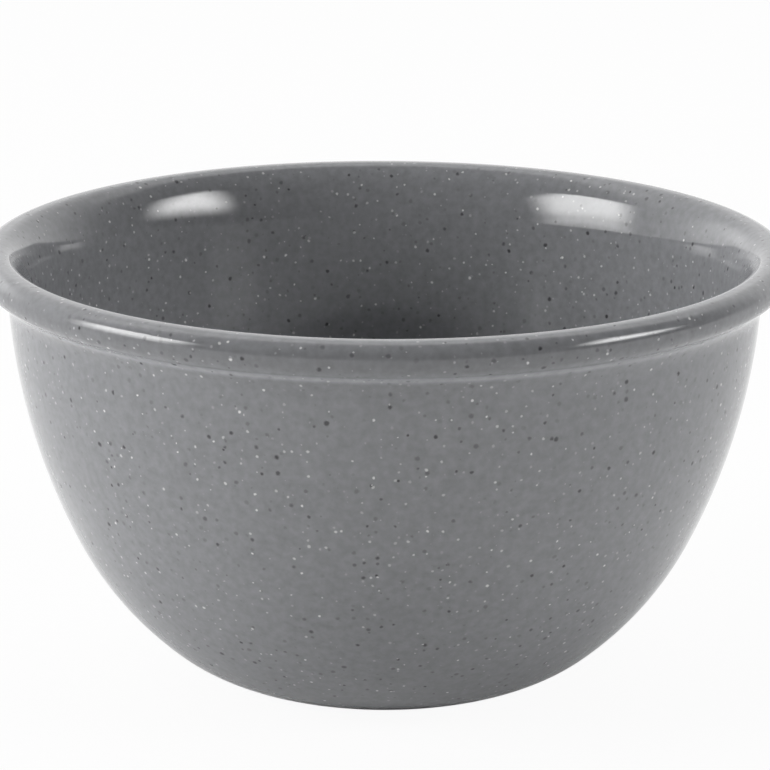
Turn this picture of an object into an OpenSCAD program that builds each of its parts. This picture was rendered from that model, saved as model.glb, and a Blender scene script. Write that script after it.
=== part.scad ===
// Enamelled basin bowl: a thick turned casting with a bead round its rim and a broad inner lip,
// under a dark ground coat and a speckled grey cover coat of enamel, inside and outside.
// Millimetres, Z up, origin on the table under the middle of the bowl.

/* [Bowl] */
// Diameter over the bead of the rim
rim_d = 220; // [190:1:280]
// Height from the table to the crown of the rim
height = 120; // [105:1:150]
// Thickness of the finished wall, iron and enamel together
wall = 6.6; // [5:0.1:9]

/* [Side] */
// Radius of the tight curve where the base turns up
lower_r = 44; // [36:1:52]
// Slope at which the tight curve ends, in degrees from level
lower_turn = 40; // [34:1:46]
// Radius of the middle of the side
side_r = 92; // [70:1:110]
// Slope at which the middle of the side ends
side_turn = 64; // [58:1:70]
// Slope of the wall just below the rim
wall_slope = 85.5; // [82:0.5:87]

/* [Rim] */
// Radius of the bead round the rim, from its crown to its widest
bead_r = 4.35; // [3:0.05:6]
// Length by which that radius grows below the widest, at the bead's foot
bead_ease = 0.95; // [0.2:0.05:3]
// Width of the level strip between the crown of the bead and the lip
crown_w = 1; // [0.4:0.1:3]
// Radius of the fillet where the bead runs into the wall
fillet_r = 8.5; // [4:0.1:11]

/* [Inner lip] */
// Radius at the top of the lip
lip_top_r = 4.7; // [3:0.1:7]
// Slope at which the top of the lip ends
lip_top_turn = 40; // [30:1:50]
// Radius of the middle of the lip
lip_side_r = 11.5; // [8:0.5:16]
// Slope at which the middle of the lip ends
lip_side_turn = 66; // [56:1:74]
// Radius of the long foot that runs the lip into the wall
lip_foot_r = 37; // [25:1:50]

/* [Enamel] */
// Thickness of the speckled cover coat
cover_coat = 0.4; // [0.2:0.05:0.8]
// Thickness of the dark ground coat under it
ground_coat = 0.2; // [0.1:0.05:0.4]

/* [Hidden] */
$fn = 256;

iron_colour = "#3d3d3f";
ground_colour = "#19191c";
enamel_colour = "#7d7f82";

// Length by which a cut runs past the face that it opens
overrun = 2;
// Hair by which one curve of a profile overlaps the next, so that tangent curves cross cleanly
lap = 0.002;
// Angle by which a curve is carried on under the longer one that follows it
turn_lap = 5;

// Profiles are drawn with the radius along X and the height along Y.
// Where the wall rises at a slope: the direction square out of the wall, and the one up the wall.
function out(slope) = [sin(slope), -cos(slope)];
function rise(slope) = [cos(slope), sin(slope)];

iron_depth = cover_coat + ground_coat;

// The bead and the three curves of the lip, from the crown down to the lip's foot
bead_c = [rim_d / 2 - bead_r, height - bead_r];
bead_foot_r = bead_r + bead_ease;
bead_foot_c = bead_c - [bead_ease, 0];
crown_r = bead_c.x - crown_w;
lip_top_c = [crown_r, height - lip_top_r];
lip_side_c = lip_top_c + (lip_side_r - lip_top_r) * out(lip_top_turn);
lip_foot_c = lip_side_c + (lip_foot_r - lip_side_r) * out(lip_side_turn);
lip_foot = lip_foot_c - lip_foot_r * out(wall_slope);
lip_curves = [
    [lip_top_c, lip_top_r, 0, lip_top_turn],
    [lip_side_c, lip_side_r, lip_top_turn, lip_side_turn],
    [lip_foot_c, lip_foot_r, lip_side_turn, wall_slope],
];

// The outside of the wall across from the lip's foot, and the three curves from there to the base
wall_top = lip_foot + wall * out(wall_slope);
lower_rise = lower_r * (1 - cos(lower_turn));
side_rise = side_r * (cos(lower_turn) - cos(side_turn));
upper_r = (wall_top.y - lower_rise - side_rise) / (cos(side_turn) - cos(wall_slope));
upper_c = wall_top - upper_r * out(wall_slope);
side_c = upper_c + (upper_r - side_r) * out(side_turn);
lower_c = side_c + (side_r - lower_r) * out(lower_turn);
wall_curves = [
    [lower_c, lower_r, 0, lower_turn],
    [side_c, side_r, lower_turn, side_turn],
    [upper_c, upper_r, side_turn, wall_slope],
];

// The straight stretch up to the bead's foot, and the fillet in the corner under the bead, which is
// no larger than the straight stretch has room for
bead_out = (bead_foot_c - wall_top) * out(wall_slope);
bead_up = (bead_foot_c - wall_top) * rise(wall_slope);
fillet_room = (bead_up ^ 2 - bead_foot_r ^ 2 + bead_out ^ 2) / (2 * (bead_foot_r + bead_out));
fillet_fit = min(fillet_r, fillet_room);
fillet_up = bead_up - sqrt((bead_foot_r + fillet_fit) ^ 2 - (fillet_fit - bead_out) ^ 2);
fillet_c = wall_top + fillet_up * rise(wall_slope) + fillet_fit * out(wall_slope);

// The point of a curve at its far slope, moved out of the wall by a distance
function curve_end(curve, move) = curve[0] + (curve[1] + move) * out(curve[3]);

// A slice of a disc between the two slopes of a curve, on the outer or the inner side of the wall
module slice(curve, grow, side) {
    reach = side * 2 * curve[1];
    intersection() {
        translate(curve[0]) circle(curve[1] + grow);
        polygon([curve[0], curve[0] + reach * out(curve[2]),
            curve[0] + reach * out(curve[3] + turn_lap)]);
    }
}

// Everything inside the outer face of the bowl, at a depth below the finished face
module outer_form(depth) {
    curves = len(wall_curves);
    inset = depth + curves * lap;
    straight_foot = wall_top - inset * out(wall_slope);
    straight_top = straight_foot + bead_up * rise(wall_slope);
    for (k = [0:curves - 1]) intersection() {
        slice(wall_curves[k], -depth - k * lap, 1);
        square([rim_d, height]);
    }
    polygon([[0, depth], [lower_c.x, depth],
        for (k = [0:curves - 2]) curve_end(wall_curves[k], -inset),
        straight_foot, straight_top, bead_foot_c, bead_c, bead_c + [0, bead_r - depth],
        [0, height - depth]]);
    translate(bead_c) circle(bead_r - depth);
    intersection() {
        translate(bead_foot_c) circle(bead_foot_r - depth - lap);
        square([rim_d, bead_c.y]);
    }
    difference() {
        polygon([fillet_c - (fillet_fit + wall) * out(wall_slope), fillet_c, bead_foot_c,
            straight_top - wall * out(wall_slope)]);
        translate(fillet_c) circle(fillet_fit + inset + lap);
    }
}

// The hollow of the bowl, open at the top, grown by a depth behind the finished face
module hollow_form(depth) {
    curves = len(wall_curves);
    laps = curves + len(lip_curves) - 1;
    floor_up = wall - depth - laps * lap;
    foot = lip_foot + depth * out(wall_slope);
    foot_back = foot + (crown_r - foot.x) / sin(wall_slope) * out(wall_slope);
    difference() {
        union() {
            for (k = [0:curves - 1]) intersection() {
                slice(wall_curves[k], depth - wall + (laps - k) * lap, 1);
                square([rim_d, height]);
            }
            polygon([[0, floor_up], [lower_c.x, floor_up],
                for (k = [0:curves - 2]) curve_end(wall_curves[k], depth - wall),
                foot, foot_back, [crown_r, height + overrun], [0, height + overrun]]);
        }
        for (k = [0:len(lip_curves) - 1]) slice(lip_curves[k], -depth - k * lap, -1);
    }
}

// A coat on the outer face between two depths, ending at the crown
module outside_coat(top, bottom) {
    rotate_extrude() difference() {
        outer_form(top);
        outer_form(bottom);
        translate([0, bead_c.y]) square([crown_r, bead_r + overrun]);
    }
}

// A coat on the inner face between two depths, ending at the crown
module inside_coat(top, bottom) {
    rotate_extrude() difference() {
        hollow_form(bottom);
        hollow_form(top);
    }
}

module cast_iron_body() {
    color(iron_colour) rotate_extrude() difference() {
        outer_form(iron_depth);
        hollow_form(iron_depth);
    }
}

module outside_ground_coat() {
    color(ground_colour) outside_coat(cover_coat, iron_depth);
}

module inside_ground_coat() {
    color(ground_colour) inside_coat(cover_coat, iron_depth);
}

module outside_enamel() {
    color(enamel_colour) outside_coat(0, cover_coat);
}

module inside_enamel() {
    color(enamel_colour) inside_coat(0, cover_coat);
}

cast_iron_body();
outside_ground_coat();
inside_ground_coat();
outside_enamel();
inside_enamel();
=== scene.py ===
import math

import bpy
from mathutils import Matrix, Vector


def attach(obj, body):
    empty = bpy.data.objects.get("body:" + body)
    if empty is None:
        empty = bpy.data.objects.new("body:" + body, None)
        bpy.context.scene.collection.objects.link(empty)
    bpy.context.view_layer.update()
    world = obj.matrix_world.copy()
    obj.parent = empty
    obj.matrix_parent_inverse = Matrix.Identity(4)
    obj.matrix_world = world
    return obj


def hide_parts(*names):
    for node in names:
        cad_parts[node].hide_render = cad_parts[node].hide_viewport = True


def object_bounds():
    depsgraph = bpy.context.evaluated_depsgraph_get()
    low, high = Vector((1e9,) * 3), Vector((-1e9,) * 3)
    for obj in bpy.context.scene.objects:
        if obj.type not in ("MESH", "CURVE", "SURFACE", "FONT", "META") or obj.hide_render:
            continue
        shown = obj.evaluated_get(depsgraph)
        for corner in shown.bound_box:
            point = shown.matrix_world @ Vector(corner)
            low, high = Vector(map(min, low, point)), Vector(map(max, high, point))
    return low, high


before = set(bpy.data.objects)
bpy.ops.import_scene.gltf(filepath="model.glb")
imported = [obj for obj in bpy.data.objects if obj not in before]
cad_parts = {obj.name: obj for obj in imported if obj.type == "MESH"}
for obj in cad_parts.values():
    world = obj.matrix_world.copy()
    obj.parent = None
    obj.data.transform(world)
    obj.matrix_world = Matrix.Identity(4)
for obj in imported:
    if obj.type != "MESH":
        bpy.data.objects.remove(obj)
cadLow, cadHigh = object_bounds()
print("frame loaded, solids:", ", ".join(sorted(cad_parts)))

mm = 0.001
scene = bpy.context.scene
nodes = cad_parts


# section of the bowl, in the plane of X and Z

bowl = {
    "rimRadius": (cadHigh.x - cadLow.x) / 2,
    "height": cadHigh.z,
    "wall": 6.6 * mm,
    "lowerRadius": 44 * mm,  # tight curve where the base turns up
    "lowerTurn": 40,  # slopes are in degrees from level
    "sideRadius": 92 * mm,
    "sideTurn": 64,
    "wallSlope": 85.5,
    "beadRadius": 4.35 * mm,  # from its crown to its widest
    "beadEase": 0.95 * mm,  # by which that radius grows below the widest
    "crownWidth": 1 * mm,  # level strip between the bead and the lip
    "filletRadius": 8.5 * mm,  # under the bead
    "lipTopRadius": 4.7 * mm,
    "lipTopTurn": 40,
    "lipSideRadius": 11.5 * mm,
    "lipSideTurn": 66,
    "lipFootRadius": 37 * mm,
    "coat": 0.4 * mm,  # thickness of the cover coat
    "ringFaces": 256,  # faces round the bowl
    "wallFace": 1.5,  # degrees that one face turns
    "lipFace": 2.5,
    "beadFace": 4,
    "weld": 0.004 * mm,  # points closer than this are merged
    "smoothAngle": 30,  # faces that meet at less than this shade as one
}


def wallNormal(slope):  # square out of a wall that rises at this slope
    angle = math.radians(slope)
    return Vector((math.sin(angle), 0, -math.cos(angle)))


def wallRise(slope):  # up along that wall
    angle = math.radians(slope)
    return Vector((math.cos(angle), 0, math.sin(angle)))


def sectionCentres(b):  # centres of the section's curves, and the run and turn of the rim's foot
    out, rise = wallNormal(b["wallSlope"]), wallRise(b["wallSlope"])
    bead = Vector((b["rimRadius"] - b["beadRadius"], 0, b["height"] - b["beadRadius"]))
    beadFoot = bead - Vector((b["beadEase"], 0, 0))
    lipTop = Vector((bead.x - b["crownWidth"], 0, b["height"] - b["lipTopRadius"]))
    lipSide = lipTop + (b["lipSideRadius"] - b["lipTopRadius"]) * wallNormal(b["lipTopTurn"])
    lipFoot = lipSide + (b["lipFootRadius"] - b["lipSideRadius"]) * wallNormal(b["lipSideTurn"])
    wallTop = lipFoot - (b["lipFootRadius"] - b["wall"]) * out
    low, mid, top = (-wallNormal(b[turn]).z for turn in ("lowerTurn", "sideTurn", "wallSlope"))
    upperRise = wallTop.z - b["lowerRadius"] * (1 - low) - b["sideRadius"] * (low - mid)
    upperRadius = upperRise / (mid - top)
    upper = wallTop - upperRadius * out
    side = upper + (upperRadius - b["sideRadius"]) * wallNormal(b["sideTurn"])
    lower = side + (b["sideRadius"] - b["lowerRadius"]) * wallNormal(b["lowerTurn"])
    beadOut, beadUp = (beadFoot - wallTop).dot(out), (beadFoot - wallTop).dot(rise)
    reach = b["beadRadius"] + b["beadEase"] + b["filletRadius"]
    offset = b["filletRadius"] - beadOut
    straight = (beadUp - math.sqrt(reach ** 2 - offset ** 2)) * rise
    fillet = wallTop + straight + b["filletRadius"] * out
    toBead = math.degrees(math.atan2(beadFoot.z - fillet.z, beadFoot.x - fillet.x))
    return {
        "lower": lower, "side": side, "upper": upper, "straight": straight,
        "fillet": fillet, "filletTurn": b["wallSlope"] + 90 - toBead,
        "beadFoot": beadFoot, "footTurn": 180 - toBead, "bead": bead,
        "lipTop": lipTop, "lipSide": lipSide, "lipFoot": lipFoot,
    }


def startSection(name, point):  # a plane merged to one vertex, where the section starts
    bpy.ops.object.select_all(action="DESELECT")
    bpy.ops.mesh.primitive_plane_add(size=bowl["wall"])
    piece = bpy.context.object
    piece.name = piece.data.name = name
    bpy.ops.object.mode_set(mode="EDIT")
    bpy.ops.mesh.select_mode(type="VERT")
    bpy.ops.mesh.select_all(action="SELECT")
    bpy.ops.mesh.merge(type="CENTER")
    bpy.ops.transform.translate(value=point)
    return piece


def runStraight(step):
    bpy.ops.mesh.extrude_region_move(TRANSFORM_OT_translate={"value": step})


def turnRound(centre, degrees, faceDegrees):  # an arc of the section, positive turns are to the left
    faces = max(2, round(abs(degrees) / faceDegrees))
    bpy.ops.mesh.spin(steps=faces, angle=math.radians(degrees), center=centre, axis=(0, 1, 0))


def spinCoat(piece, opensUp):  # round the bowl's axis, then thickened behind the face that shows
    bpy.ops.mesh.select_all(action="SELECT")
    bpy.ops.mesh.spin(steps=bowl["ringFaces"], angle=2 * math.pi, center=(0, 0, 0), axis=(0, 0, 1))
    bpy.ops.mesh.select_all(action="SELECT")
    bpy.ops.mesh.remove_doubles(threshold=bowl["weld"])
    bpy.ops.mesh.select_all(action="SELECT")
    bpy.ops.mesh.normals_make_consistent(inside=opensUp)
    bpy.ops.object.mode_set(mode="OBJECT")
    middle = min(piece.data.polygons, key=lambda face: face.center.xy.length)
    if (middle.normal.z > 0) != opensUp:
        bpy.ops.object.mode_set(mode="EDIT")
        bpy.ops.mesh.flip_normals()
        bpy.ops.object.mode_set(mode="OBJECT")
    coat = piece.modifiers.new("coat", "SOLIDIFY")
    coat.thickness = bowl["coat"]
    coat.offset = -1
    coat.use_even_offset = True
    bpy.ops.object.modifier_apply(modifier=coat.name)
    bpy.ops.object.shade_smooth_by_angle(angle=math.radians(bowl["smoothAngle"]))
    return piece


def outsideCoat():  # from the middle of the base, up the wall and over the bead to the crown
    b, at = bowl, sectionCentres(bowl)
    piece = startSection("outsideEnamel", (0, 0, 0))
    runStraight((at["lower"].x, 0, 0))
    turnRound(at["lower"], b["lowerTurn"], b["wallFace"])
    turnRound(at["side"], b["sideTurn"] - b["lowerTurn"], b["wallFace"])
    turnRound(at["upper"], b["wallSlope"] - b["sideTurn"], b["wallFace"])
    runStraight(at["straight"])
    turnRound(at["fillet"], -at["filletTurn"], b["beadFace"])
    turnRound(at["beadFoot"], at["footTurn"], b["beadFace"])
    turnRound(at["bead"], 90, b["beadFace"])
    runStraight((-b["crownWidth"], 0, 0))
    return spinCoat(piece, opensUp=False)


def insideCoat():  # from the crown down the lip and the wall to the middle of the floor
    b, at = bowl, sectionCentres(bowl)
    piece = startSection("insideEnamel", (at["lipTop"].x, 0, b["height"]))
    turnRound(at["lipTop"], b["lipTopTurn"], b["lipFace"])
    turnRound(at["lipSide"], b["lipSideTurn"] - b["lipTopTurn"], b["lipFace"])
    turnRound(at["lipFoot"], b["wallSlope"] - b["lipSideTurn"], b["lipFace"])
    turnRound(at["upper"], b["sideTurn"] - b["wallSlope"], b["wallFace"])
    turnRound(at["side"], b["lowerTurn"] - b["sideTurn"], b["wallFace"])
    turnRound(at["lower"], -b["lowerTurn"], b["wallFace"])
    runStraight((-at["lower"].x, 0, 0))
    return spinCoat(piece, opensUp=True)


outsideEnamel = outsideCoat()
insideEnamel = insideCoat()
for piece, node in ((outsideEnamel, "outside_enamel"), (insideEnamel, "inside_enamel")):
    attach(piece, "root")
    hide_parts(node)
    print(piece.name, "has", len(piece.data.polygons), "faces")


# materials

def newMaterial(name):
    material = bpy.data.materials.new(name)
    material.use_nodes = True
    return material, material.node_tree, material.node_tree.nodes["Principled BSDF"]


def addNode(tree, kind, inputs=None, **settings):
    node = tree.nodes.new(kind)
    for key, value in settings.items():
        setattr(node, key, value)
    for socket, value in (inputs or {}).items():
        if isinstance(value, bpy.types.NodeSocket):
            tree.links.new(value, node.inputs[socket])
        else:
            node.inputs[socket].default_value = value
    return node


def addMath(tree, operation, first, second=0.0):
    return addNode(tree, "ShaderNodeMath", {0: first, 1: second}, operation=operation).outputs[0]


def addVectorMath(tree, operation, inputs, output="Vector"):
    return addNode(tree, "ShaderNodeVectorMath", inputs, operation=operation).outputs[output]


def addRange(tree, value, ends, low=0.0, high=1.0, smooth=False):  # low at the first end, high at the other
    start, end = ends
    inputs = {"Value": value, "From Min": start, "From Max": end, "To Min": low, "To Max": high}
    kind = "SMOOTHSTEP" if smooth else "LINEAR"
    return addNode(tree, "ShaderNodeMapRange", inputs, interpolation_type=kind).outputs["Result"]


def addNoise(tree, place, scale, detail, output="Fac"):
    return addNode(tree, "ShaderNodeTexNoise",
                   {"Vector": place, "Scale": scale, "Detail": detail}).outputs[output]


def opaque(colour):
    return tuple(colour) + (1,)


def mixColour(tree, amount, first, second):
    return addNode(tree, "ShaderNodeMix", {0: amount, 6: first, 7: second}, data_type="RGBA").outputs[2]


enamel = {
    "grey": (0.231, 0.235, 0.245),
    "mottle": 0.26,  # how far the grey drifts from place to place
    "mottleSize": 2.2 * mm,
    "mottleDetail": 4.0,
    "roughness": 0.05,
    "ior": 1.5,
    "white": (0.78, 0.78, 0.77),
    "black": (0.01, 0.01, 0.011),
    "ragged": 0.5 * mm,  # how far the edge of a speck wanders
    "raggedScale": 0.9 / mm,
    "raggedDetail": 1.0,
    "core": 0.35,  # share of a speck's radius at which it is full
    "depthPower": 1.6,  # above 1, most specks lie deep and look faint
    "clusterSize": 14 * mm,
    "clusterDetail": 2.0,
    "crowd": (0.3, 0.7),  # levels of the noise at the emptiest and the fullest places
    "thick": 0.8,  # the grey of the painted shade, as a share of the plain grey
    "paintedLight": 1.75,  # and of the painted light band
    "outsideFrom": (103.6 * mm, 104.6 * mm),  # radii between which the painted light and shade below set in
}
# painted light and shade outside, by height in mm: a painted pale band under the bead, and painted shade on
# the bead's lower half above it
paintedLightByHeight = {
    100: 0.21, 105: 0.21, 107: 0.36, 108.4: 0.66, 109.8: 0.95, 111: 0.55,
    112.4: 0.15, 114: 0.05, 116.5: 0.03, 118.5: 0.15, 120: 0.21,
}
whiteSpecks = {
    "cell": 2.2 * mm,  # one place for a speck in each cell of this size
    "share": 0.62,  # of the places are taken
    "radius": (0.3 * mm, 0.62 * mm),
    "strength": (0.12, 0.9),
    "cluster": 0.5,
    "turn": 0.0,  # radians that the cells are turned by, so that the two layers don't line up
}
blackSpecks = {
    "cell": 3 * mm,
    "share": 0.83,
    "radius": (0.45 * mm, 0.95 * mm),
    "strength": (0.14, 0.85),
    "cluster": 0.2,
    "turn": 0.6,
}


def speckLayer(tree, place, crowd, specks):  # how much of each point a layer of specks covers
    turned = addNode(tree, "ShaderNodeVectorRotate", {"Vector": place, "Angle": specks["turn"]},
                     rotation_type="X_AXIS").outputs["Vector"]
    cells = addNode(tree, "ShaderNodeTexVoronoi", {"Vector": turned, "Scale": 1 / specks["cell"]}).outputs
    chance = addNode(tree, "ShaderNodeSeparateColor", {"Color": cells["Color"]}).outputs
    bar = addRange(tree, crowd, enamel["crowd"],
                   low=1 - specks["share"] * (1 - specks["cluster"]),
                   high=1 - specks["share"] * (1 + specks["cluster"]))
    taken = addMath(tree, "GREATER_THAN", chance["Red"], bar)
    small, large = (size / specks["cell"] for size in specks["radius"])
    edge = addRange(tree, chance["Green"], (0, 1), low=small, high=large)
    core = addMath(tree, "MULTIPLY", edge, enamel["core"])
    disc = addRange(tree, cells["Distance"], (edge, core), smooth=True)
    depth = addMath(tree, "POWER", chance["Blue"], enamel["depthPower"])
    faint, full = specks["strength"]
    shown = addRange(tree, depth, (0, 1), low=faint, high=full)
    return addMath(tree, "MULTIPLY", addMath(tree, "MULTIPLY", disc, shown), taken)


def paintedLightLevel(tree, place):  # from 0 at the painted shade to 1 at the painted light band
    height = addNode(tree, "ShaderNodeSeparateXYZ", {"Vector": place}).outputs["Z"]
    flat = addVectorMath(tree, "MULTIPLY", {0: place, 1: (1, 1, 0)})
    reach = addVectorMath(tree, "LENGTH", {0: flat}, "Value")
    foot, top = min(paintedLightByHeight), max(paintedLightByHeight)
    ramp = addNode(tree, "ShaderNodeValToRGB", {"Fac": addRange(tree, height, (foot * mm, top * mm))})
    stops = ramp.color_ramp.elements
    stops[0].position, stops[1].position = 0, 1
    for level in sorted(paintedLightByHeight)[1:-1]:
        stops.new((level - foot) / (top - foot))
    for stop, level in zip(stops, sorted(paintedLightByHeight)):
        stop.color = opaque((paintedLightByHeight[level],) * 3)
    ramp.color_ramp.interpolation = "CARDINAL"
    outside = addRange(tree, reach, enamel["outsideFrom"])
    return mixColour(tree, outside, opaque((paintedLightByHeight[foot],) * 3), ramp.outputs["Color"])


def speckledEnamel():
    material, tree, shader = newMaterial("speckledEnamel")
    place = addNode(tree, "ShaderNodeTexCoord").outputs["Object"]
    wander = addNoise(tree, place, enamel["raggedScale"], enamel["raggedDetail"], "Color")
    offset = addVectorMath(tree, "SUBTRACT", {0: wander, 1: (0.5, 0.5, 0.5)})  # the noise's middle
    offset = addVectorMath(tree, "SCALE", {0: offset, "Scale": enamel["ragged"]})
    ragged = addVectorMath(tree, "ADD", {0: place, 1: offset})
    crowd = addNoise(tree, place, 1 / enamel["clusterSize"], enamel["clusterDetail"])
    mottle = addNoise(tree, place, 1 / enamel["mottleSize"], enamel["mottleDetail"])
    drift = addRange(tree, mottle, (0, 1), low=1 - enamel["mottle"], high=1 + enamel["mottle"])
    # painted light band under the bead and painted shade on the bead's lower half, by height
    paintedLight = addNode(tree, "ShaderNodeSeparateColor", {"Color": paintedLightLevel(tree, place)}).outputs["Red"]
    dark, light = (opaque(part * enamel[coat] for part in enamel["grey"]) for coat in ("thick", "paintedLight"))
    grey = addVectorMath(tree, "SCALE", {0: mixColour(tree, paintedLight, dark, light), "Scale": drift})
    black = speckLayer(tree, ragged, crowd, blackSpecks)
    white = speckLayer(tree, ragged, crowd, whiteSpecks)
    colour = mixColour(tree, black, grey, opaque(enamel["black"]))
    colour = mixColour(tree, white, colour, opaque(enamel["white"]))
    tree.links.new(colour, shader.inputs["Base Color"])
    shader.inputs["Roughness"].default_value = enamel["roughness"]
    shader.inputs["IOR"].default_value = enamel["ior"]
    return material


groundCoat = {
    "dark": (0.008, 0.008, 0.01),
    "pale": (0.02, 0.02, 0.024),
    "roughness": 0.3,
    "metallic": 0.0,
    "grain": 3 * mm,
    "grainDetail": 5.0,
    "bump": 0.1 * mm,
    "bumpStrength": 0.3,
}
castIron = {
    "dark": (0.03, 0.03, 0.031),
    "pale": (0.07, 0.07, 0.072),
    "roughness": 0.6,
    "metallic": 1.0,
    "grain": 1.2 * mm,
    "grainDetail": 5.0,
    "bump": 0.1 * mm,
    "bumpStrength": 0.3,
}


def grainyFinish(name, finish):  # for the two layers under the cover coat
    material, tree, shader = newMaterial(name)
    place = addNode(tree, "ShaderNodeTexCoord").outputs["Object"]
    grain = addNoise(tree, place, 1 / finish["grain"], finish["grainDetail"])
    colour = mixColour(tree, grain, opaque(finish["dark"]), opaque(finish["pale"]))
    tree.links.new(colour, shader.inputs["Base Color"])
    bump = addNode(tree, "ShaderNodeBump",
                   {"Height": grain, "Strength": finish["bumpStrength"], "Distance": finish["bump"]})
    tree.links.new(bump.outputs["Normal"], shader.inputs["Normal"])
    shader.inputs["Roughness"].default_value = finish["roughness"]
    shader.inputs["Metallic"].default_value = finish["metallic"]
    return material


def dress(piece, material):
    piece.data.materials.clear()
    piece.data.materials.append(material)


enamelFinish = speckledEnamel()
groundFinish = grainyFinish("groundCoat", groundCoat)
for piece in (outsideEnamel, insideEnamel):
    dress(piece, enamelFinish)
for name in ("outside_ground_coat", "inside_ground_coat"):
    nodes[name].material_slots[0].material = groundFinish
nodes["cast_iron_body"].material_slots[0].material = grainyFinish("castIron", castIron)
print("materials: speckled enamel, ground coat, cast iron")


# studio

plainWhite = (1, 1, 1, 1)
camera = {
    "distance": 950 * mm,
    "tilt": 15.57,  # degrees that it looks down
    "aim": 79.4 * mm,  # height that it looks at
    "roll": 0.22,
    "lens": 161.5,  # the lens and the sensor are in mm
    "sensor": 36,
    "shift": 0.0009,
    "clip": 10 * mm,
}


def addCamera():
    data = bpy.data.cameras.new("camera")
    data.sensor_width = camera["sensor"]
    data.lens = camera["lens"]
    data.shift_x = camera["shift"]
    data.clip_start = camera["clip"]
    viewer = bpy.data.objects.new("camera", data)
    scene.collection.objects.link(viewer)
    tilt, roll = math.radians(camera["tilt"]), math.radians(camera["roll"])
    back = Vector((0, -math.cos(tilt), math.sin(tilt)))
    turn = Matrix.Rotation(math.pi / 2 - tilt, 4, "X") @ Matrix.Rotation(roll, 4, "Z")
    stand = Vector((0, 0, camera["aim"])) + camera["distance"] * back
    viewer.matrix_world = Matrix.Translation(stand) @ turn
    scene.camera = viewer


floorLook = {
    "size": 8,  # metres
    "pale": 0.9,
    "roughness": 0.9,
    "white": 0.94,  # share of plain white that the camera and reflections see, the rest keeps the shadow
    "shade": (55 * mm, 160 * mm),  # reflections see that white from outside the bowl's own shade
}


def addFloor():
    bpy.ops.object.select_all(action="DESELECT")
    bpy.ops.mesh.primitive_plane_add(size=floorLook["size"])
    floor = bpy.context.object
    floor.name = "floor"
    material, tree, shader = newMaterial("paleFloor")
    shader.inputs["Base Color"].default_value = opaque((floorLook["pale"],) * 3)
    shader.inputs["Roughness"].default_value = floorLook["roughness"]
    shader.inputs["Specular IOR Level"].default_value = 0
    white = addNode(tree, "ShaderNodeEmission", {"Color": plainWhite, "Strength": 1.0})
    place = addNode(tree, "ShaderNodeTexCoord").outputs["Object"]
    away = addVectorMath(tree, "LENGTH", {0: place}, "Value")
    lit = addRange(tree, away, floorLook["shade"], smooth=True)
    path = addNode(tree, "ShaderNodeLightPath").outputs
    mirrored = addMath(tree, "MAXIMUM", path["Is Glossy Ray"], path["Is Transmission Ray"])
    mirrored = addMath(tree, "MULTIPLY", mirrored, lit)
    seen = addMath(tree, "MAXIMUM", path["Is Camera Ray"], mirrored)
    mix = addNode(tree, "ShaderNodeMixShader", {
        0: addMath(tree, "MULTIPLY", seen, floorLook["white"]),
        1: shader.outputs["BSDF"], 2: white.outputs["Emission"]})
    tree.links.new(mix.outputs["Shader"], tree.nodes["Material Output"].inputs["Surface"])
    dress(floor, material)


# softboxes by the direction that they stand in, in degrees: turn from +X, lift above the floor
# fades are shares of the box, from its back, front, head and foot
lampDistance = 2.5  # metres
lampAim = 90 * mm
lampCore = 0.6  # share of a fade's reach, counted from its inner end, at which the box is full
lamps = {
    "keyLeft": {
        "turn": 196, "lift": 19.5, "wide": 46, "tall": 33, "glow": 12,
        "fade": (0.83, 0.83, 0.3, 0.55),
    },
    "lowLeft": {
        "turn": 196, "lift": 7, "wide": 48, "tall": 12, "glow": 2.5,
        "fade": (0.6, 0.6, 0.5, 0.1),
    },
    "backLeft": {
        "turn": 130, "lift": 15, "wide": 54, "tall": 28, "glow": 0.8,
        "fade": (0.8, 0.8, 0.6, 0.4),
    },
    "keyRight": {
        "turn": 342, "lift": 26.5, "wide": 42, "tall": 33, "glow": 14,
        "fade": (0.9, 0.78, 0.9, 0.42),
    },
    "backTop": {
        "turn": 97, "lift": 62, "wide": 100, "tall": 34, "glow": 0.8,
        "fade": (0.45, 0.45, 0.45, 0.6),
    },
}


def fadeLeft(tree, way, reach):  # from 1 at an edge of a box to 0 where the fade from it ends
    left = addMath(tree, "SUBTRACT", 1.0, addMath(tree, "DIVIDE", way, reach))
    return addMath(tree, "MAXIMUM", left, 0.0)


def lampGlow(tree, lamp):  # full in the middle of a box, round at its head and fading to its foot
    face = addNode(tree, "ShaderNodeSeparateXYZ",
                   {"Vector": addNode(tree, "ShaderNodeNewGeometry").outputs["Parametric"]}).outputs
    back, front, head, foot = lamp["fade"]
    onLeft = math.cos(math.radians(lamp["turn"])) < 0  # a box there starts at its back
    start, end = (back, front) if onLeft else (front, back)
    fromEnd, fromHead = (addMath(tree, "SUBTRACT", 1.0, face[axis]) for axis in ("X", "Y"))
    side = addMath(tree, "MAXIMUM", fadeLeft(tree, face["X"], start), fadeLeft(tree, fromEnd, end))
    squares = [addMath(tree, "POWER", left, 2.0) for left in (side, fadeLeft(tree, fromHead, head))]
    corner = addMath(tree, "SQRT", addMath(tree, "ADD", *squares))
    full = addRange(tree, corner, (1, lampCore), smooth=True)
    return addMath(tree, "MULTIPLY", full, addRange(tree, face["Y"], (0, foot), smooth=True))


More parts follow.
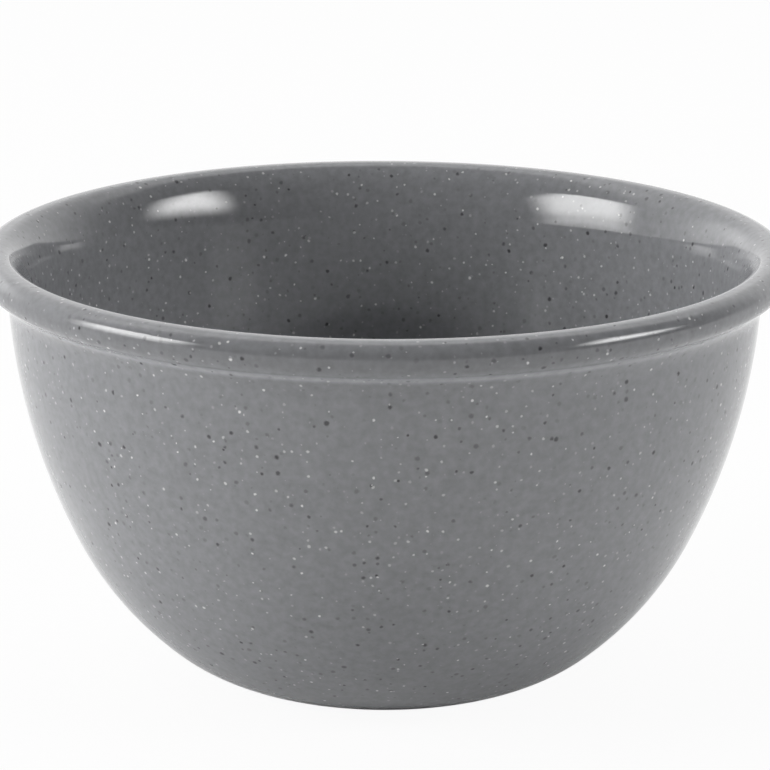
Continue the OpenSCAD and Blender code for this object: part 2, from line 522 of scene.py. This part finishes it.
def addLamp(name, lamp):
    data = bpy.data.lights.new(name, "AREA")
    data.shape = "RECTANGLE"
    data.size = 2 * lampDistance * math.tan(math.radians(lamp["wide"] / 2))
    data.size_y = 2 * lampDistance * math.tan(math.radians(lamp["tall"] / 2))
    data.energy = math.pi * data.size * data.size_y * lamp["glow"]
    data.use_nodes = True
    tree = data.node_tree
    tree.links.new(lampGlow(tree, lamp), tree.nodes["Emission"].inputs["Strength"])
    turn, lift = math.radians(lamp["turn"]), math.radians(lamp["lift"])
    away = Vector((math.cos(turn) * math.cos(lift), math.sin(turn) * math.cos(lift), math.sin(lift)))
    box = bpy.data.objects.new(name, data)
    box.location = Vector((0, 0, lampAim)) + lampDistance * away
    box.rotation_euler = (-away).to_track_quat("-Z", "Y").to_euler()
    scene.collection.objects.link(box)


studio = {
    "backGlow": 1.15,  # of the wall behind the bowl, the side of the camera stays dark
    "toBack": 105,  # the way to that wall, in degrees from +X
    "turnover": (-0.1, 0.6),  # shares of that way between which the glow rises
}


def addWorld():
    world = bpy.data.worlds.new("studio")
    scene.world = world
    world.use_nodes = True
    tree = world.node_tree
    light = tree.nodes["Background"]
    toward = addNode(tree, "ShaderNodeTexCoord").outputs["Generated"]
    turn = math.radians(studio["toBack"])
    toBack = (math.cos(turn), math.sin(turn), 0)
    depth = addVectorMath(tree, "DOT_PRODUCT", {0: toward, 1: toBack}, "Value")
    glow = addRange(tree, depth, studio["turnover"], smooth=True, high=studio["backGlow"])
    tree.links.new(glow, light.inputs["Strength"])
    light.inputs["Color"].default_value = plainWhite
    white = addNode(tree, "ShaderNodeBackground", {"Color": plainWhite, "Strength": 1.0})
    path = addNode(tree, "ShaderNodeLightPath").outputs
    mix = addNode(tree, "ShaderNodeMixShader", {
        0: addMath(tree, "MAXIMUM", path["Is Camera Ray"], path["Is Transmission Ray"]),
        1: light.outputs["Background"], 2: white.outputs["Background"]})
    tree.links.new(mix.outputs["Shader"], tree.nodes["World Output"].inputs["Surface"])


addCamera()
addFloor()
addWorld()
for name, lamp in lamps.items():
    addLamp(name, lamp)
scene.view_settings.view_transform = "Standard"
print("studio:", len(lamps), "softboxes")
